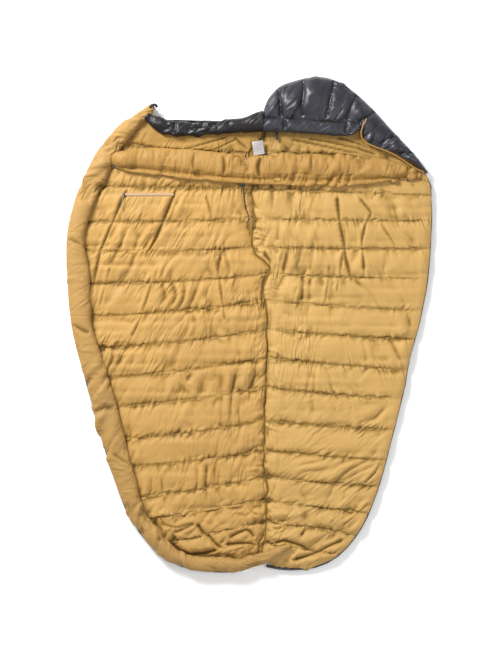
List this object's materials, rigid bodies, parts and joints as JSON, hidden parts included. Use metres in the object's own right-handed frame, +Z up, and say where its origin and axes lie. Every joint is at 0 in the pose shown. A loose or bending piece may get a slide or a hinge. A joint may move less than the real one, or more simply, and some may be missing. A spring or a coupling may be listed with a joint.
{
  "type": "camp quilt",
  "caption": "Padded camp quilt: a hooded down sleeping bag opened flat, with baffles, draft tube, draft collar and zips. One half folds over the other.",
  "frame": {"origin": "centre of the bounding box, on the floor the quilt lies on", "axes": "+Y from the foot to the hood, +Z up through the lining as it lies open, +X across to the hood's side"},
  "size_m": [1.555, 2.1048, 0.088],
  "materials": {
    "down_fill": "matte",
    "shell_fabric": "satin",
    "lining_fabric": "satin",
    "zip_tape": "matte",
    "zip_coil": "satin",
    "slider_metal": "satin",
    "pull_plastic": "matte",
    "pocket_zip": "satin",
    "cord": "matte",
    "cord_lock_plastic": "satin",
    "spring_steel": "polished",
    "label": "satin",
    "webbing": "matte",
    "snap_metal": "satin"
  },
  "bodies": {
    "back_panel": {"back_outer_shell": "shell_fabric", "back_lining": "lining_fabric", "back_neck_down_fill": "down_fill", "back_down_fill_01": "down_fill", "back_down_fill_02": "down_fill", "back_down_fill_03": "down_fill", "back_down_fill_04": "down_fill", "back_down_fill_05": "down_fill", "back_down_fill_06": "down_fill", "back_down_fill_07": "down_fill", "back_down_fill_08": "down_fill", "back_down_fill_09": "down_fill", "back_down_fill_10": "down_fill", "back_foot_down_fill": "down_fill", "back_zip_tape": "zip_tape", "back_zip_coil": "zip_coil", "back_draft_collar": "lining_fabric", "collar_snap_socket": "snap_metal", "hood_upper_shell": "shell_fabric", "hood_back_pad": "shell_fabric", "hood_rim_tube": "shell_fabric", "hood_pull_loop": "webbing"},
    "top_panel": {"top_outer_shell": "shell_fabric", "top_lining": "lining_fabric", "top_neck_down_fill": "down_fill", "top_down_fill_01": "down_fill", "top_down_fill_02": "down_fill", "top_down_fill_03": "down_fill", "top_down_fill_04": "down_fill", "top_down_fill_05": "down_fill", "top_down_fill_06": "down_fill", "top_down_fill_07": "down_fill", "top_down_fill_08": "down_fill", "top_down_fill_09": "down_fill", "top_down_fill_10": "down_fill", "top_foot_down_fill": "down_fill", "top_zip_tape": "zip_tape", "top_zip_coil": "zip_coil", "draft_tube_cover": "lining_fabric", "draft_tube_down_fill": "down_fill", "top_draft_collar": "lining_fabric", "collar_snap_stud": "snap_metal", "hood_side_tube": "shell_fabric", "pocket_bag": "lining_fabric", "pocket_zip_tape": "pocket_zip", "pocket_zip_coil": "pocket_zip", "care_label": "label", "collar_cord_a": "cord", "collar_cord_b": "cord", "collar_cord_knot": "cord"},
    "upper_slider_body": {"upper_slider": "slider_metal"},
    "upper_pull_body": {"upper_slider_pull": "pull_plastic"},
    "lower_slider_body": {"lower_slider": "slider_metal"},
    "lower_pull_body": {"lower_slider_pull": "pull_plastic"},
    "pocket_slider_body": {"pocket_slider": "slider_metal"},
    "pocket_pull_body": {"pocket_pull": "cord"},
    "cord_lock_body": {"cord_lock_barrel": "cord_lock_plastic", "cord_lock_spring": "spring_steel"},
    "cord_lock_button_body": {"cord_lock_button": "cord_lock_plastic"}
  },
  "joints": [
    {"name": "side_fold", "type": "hinge", "parent": "back_panel", "child": "top_panel", "pos_m": [0.06063, 0, 0.084], "axis": [0, 1, 0], "range_deg": [0, 180]},
    {"name": "upper_slider_travel", "type": "slide", "parent": "top_panel", "child": "upper_slider_body", "axis": [-0.8367, -0.5477, 0], "range_m": [0, 0.08]},
    {"name": "upper_pull_swing", "type": "hinge", "parent": "upper_slider_body", "child": "upper_pull_body", "pos_m": [-0.42838, 0.93088, 0.0271], "axis": [-0.5477, 0.8367, 0], "range_deg": [0, 170]},
    {"name": "lower_slider_travel", "type": "slide", "parent": "top_panel", "child": "lower_slider_body", "axis": [-0.9338, -0.3579, 0], "range_m": [0, 0.06]},
    {"name": "lower_pull_swing", "type": "hinge", "parent": "lower_slider_body", "child": "lower_pull_body", "pos_m": [0.0319, -1.01557, 0.0271], "axis": [-0.3579, 0.9338, 0], "range_deg": [0, 170]},
    {"name": "pocket_slider_travel", "type": "slide", "parent": "top_panel", "child": "pocket_slider_body", "axis": [1, 0, 0], "range_m": [0, 0.19]},
    {"name": "pocket_pull_swing", "type": "hinge", "parent": "pocket_slider_body", "child": "pocket_pull_body", "pos_m": [-0.53237, 0.55557, 0.04745], "axis": [-1, 0, 0], "range_deg": [0, 170]},
    {"name": "cord_lock_travel", "type": "slide", "parent": "top_panel", "child": "cord_lock_body", "axis": [0.1104, -0.9939, 0], "range_m": [0, 0.07]},
    {"name": "cord_lock_press", "type": "slide", "parent": "cord_lock_body", "child": "cord_lock_button_body", "axis": [-0.9939, -0.1104, 0], "range_m": [0, 0.0025], "stiffness_N_per_m": 300}
  ]
}
